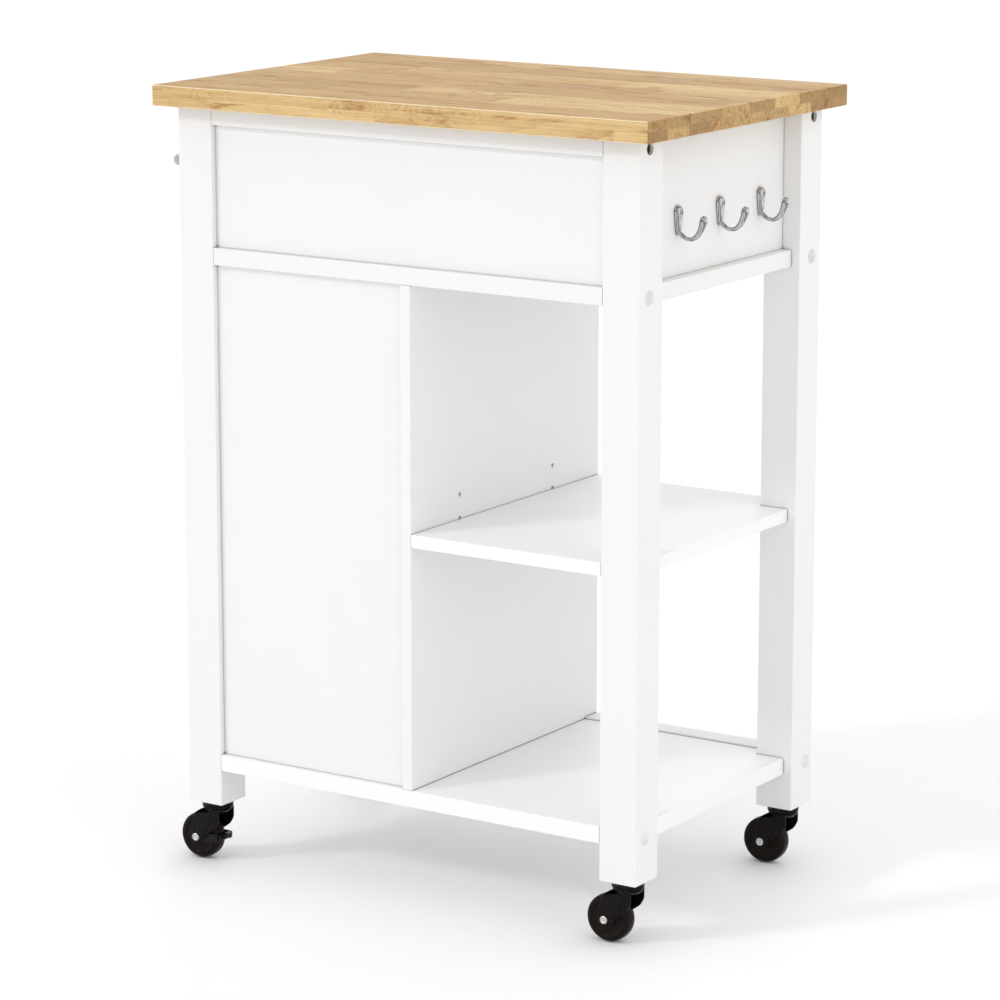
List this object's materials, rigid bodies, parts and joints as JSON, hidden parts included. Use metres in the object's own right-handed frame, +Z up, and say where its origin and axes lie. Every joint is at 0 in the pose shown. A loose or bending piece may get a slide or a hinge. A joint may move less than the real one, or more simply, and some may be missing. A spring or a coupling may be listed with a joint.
{
  "type": "kitchen island cart",
  "caption": "Rolling kitchen island cart with a wooden worktop, drawer, closed cabinet, open shelves, side hooks and towel bar on locking casters.",
  "frame": {"origin": "on the floor under the middle of the worktop", "axes": "+Z up, -Y towards the front (drawer and door side), +X towards the towel bar, to the right seen from the front"},
  "size_m": [0.641, 0.406, 0.84],
  "materials": {
    "white_paint": "satin white paint on solid wood and board",
    "butcher_block": "oiled rubberwood block, satin",
    "drawer_board": "white laminated board, matte",
    "chrome": "polished chrome",
    "hinge_steel": "bright nickel plate",
    "screw_steel": "zinc plated",
    "runner_steel": "zinc plated sheet",
    "rivet_steel": "bright rolled rivet",
    "white_plastic": "moulded white plastic",
    "caster_black_metal": "gloss black paint",
    "caster_black_plastic": "gloss black moulded plastic",
    "brake_black_plastic": "black moulded plastic"
  },
  "bodies": {
    "cart": {"back_top_rail": "white_paint", "bottom_board": "white_paint", "bottom_front_rail": "white_paint", "cabinet_back_panel": "white_paint", "cabinet_shelf": "white_paint", "cabinet_side_panel": "white_paint", "caster_stems": "caster_black_metal", "divider_panel": "white_paint", "door_catch": "white_plastic", "drawer_runners_fixed": "runner_steel", "frame_screws": "screw_steel", "front_top_rail": "white_paint", "hinge_pins": "hinge_steel", "hinge_post_leaves": "hinge_steel", "hinge_post_screws": "screw_steel", "hook_screws": "screw_steel", "hook_side_panel": "white_paint", "mid_board": "white_paint", "open_shelf": "white_paint", "post_back_left": "white_paint", "post_back_right": "white_paint", "post_front_left": "white_paint", "post_front_right": "white_paint", "screw_caps": "white_plastic", "shelf_pins": "runner_steel", "side_hooks": "chrome", "towel_bar": "chrome", "towel_bar_screws": "screw_steel", "towel_side_panel": "white_paint", "upper_back_panel": "white_paint", "worktop": "butcher_block", "worktop_screws": "screw_steel"},
    "drawer": {"drawer_back": "drawer_board", "drawer_bottom": "drawer_board", "drawer_front": "white_paint", "drawer_knob": "chrome", "drawer_knob_screw": "screw_steel", "drawer_runners_moving": "runner_steel", "drawer_sides": "drawer_board"},
    "door": {"catch_strike": "screw_steel", "catch_strike_screw": "screw_steel", "door_knob": "chrome", "door_knob_screw": "screw_steel", "door_panel": "white_paint", "hinge_door_leaves": "hinge_steel", "hinge_door_screws": "screw_steel"},
    "fork_front_right": {"caster_fork_front_right": "caster_black_metal", "caster_axle_front_right": "rivet_steel"},
    "wheel_front_right": {"caster_wheel_front_right": "caster_black_plastic"},
    "fork_front_left": {"caster_fork_front_left": "caster_black_metal", "caster_axle_front_left": "rivet_steel"},
    "wheel_front_left": {"caster_wheel_front_left": "caster_black_plastic"},
    "fork_back_right": {"caster_fork_back_right": "caster_black_metal", "caster_axle_back_right": "rivet_steel"},
    "wheel_back_right": {"caster_wheel_back_right": "caster_black_plastic"},
    "fork_back_left": {"caster_fork_back_left": "caster_black_metal", "caster_axle_back_left": "rivet_steel"},
    "wheel_back_left": {"caster_wheel_back_left": "caster_black_plastic"},
    "brake_front_right": {"brake_lever_front_right": "brake_black_plastic"},
    "brake_back_right": {"brake_lever_back_right": "brake_black_plastic"}
  },
  "joints": [
    {"name": "drawer_slide", "type": "slide", "parent": "cart", "child": "drawer", "axis": [0, -1, 0], "range_m": [0, 0.22]},
    {"name": "door_hinge", "type": "hinge", "parent": "cart", "child": "door", "pos_m": [0.237, -0.184, 0.3905], "axis": [0, 0, 1], "range_deg": [0, 110]},
    {"name": "swivel_front_right", "type": "hinge", "parent": "cart", "child": "fork_front_right", "pos_m": [0.2595, -0.1595, 0.06], "axis": [0, 0, 1], "continuous": true},
    {"name": "roll_front_right", "type": "hinge", "parent": "fork_front_right", "child": "wheel_front_right", "pos_m": [0.2795, -0.1595, 0.025], "axis": [0, 1, 0], "continuous": true},
    {"name": "brake_press_front_right", "type": "hinge", "parent": "fork_front_right", "child": "brake_front_right", "pos_m": [0.2795, -0.1595, 0.025], "axis": [0, -1, 0], "range_deg": [0, 12]},
    {"name": "swivel_front_left", "type": "hinge", "parent": "cart", "child": "fork_front_left", "pos_m": [-0.2595, -0.1595, 0.06], "axis": [0, 0, 1], "continuous": true},
    {"name": "roll_front_left", "type": "hinge", "parent": "fork_front_left", "child": "wheel_front_left", "pos_m": [-0.2395, -0.1595, 0.025], "axis": [0, 1, 0], "continuous": true},
    {"name": "swivel_back_right", "type": "hinge", "parent": "cart", "child": "fork_back_right", "pos_m": [0.2595, 0.1595, 0.06], "axis": [0, 0, 1], "continuous": true},
    {"name": "roll_back_right", "type": "hinge", "parent": "fork_back_right", "child": "wheel_back_right", "pos_m": [0.2795, 0.1595, 0.025], "axis": [0, 1, 0], "continuous": true},
    {"name": "brake_press_back_right", "type": "hinge", "parent": "fork_back_right", "child": "brake_back_right", "pos_m": [0.2795, 0.1595, 0.025], "axis": [0, -1, 0], "range_deg": [0, 12]},
    {"name": "swivel_back_left", "type": "hinge", "parent": "cart", "child": "fork_back_left", "pos_m": [-0.2595, 0.1595, 0.06], "axis": [0, 0, 1], "continuous": true},
    {"name": "roll_back_left", "type": "hinge", "parent": "fork_back_left", "child": "wheel_back_left", "pos_m": [-0.2395, 0.1595, 0.025], "axis": [0, 1, 0], "continuous": true}
  ]
}
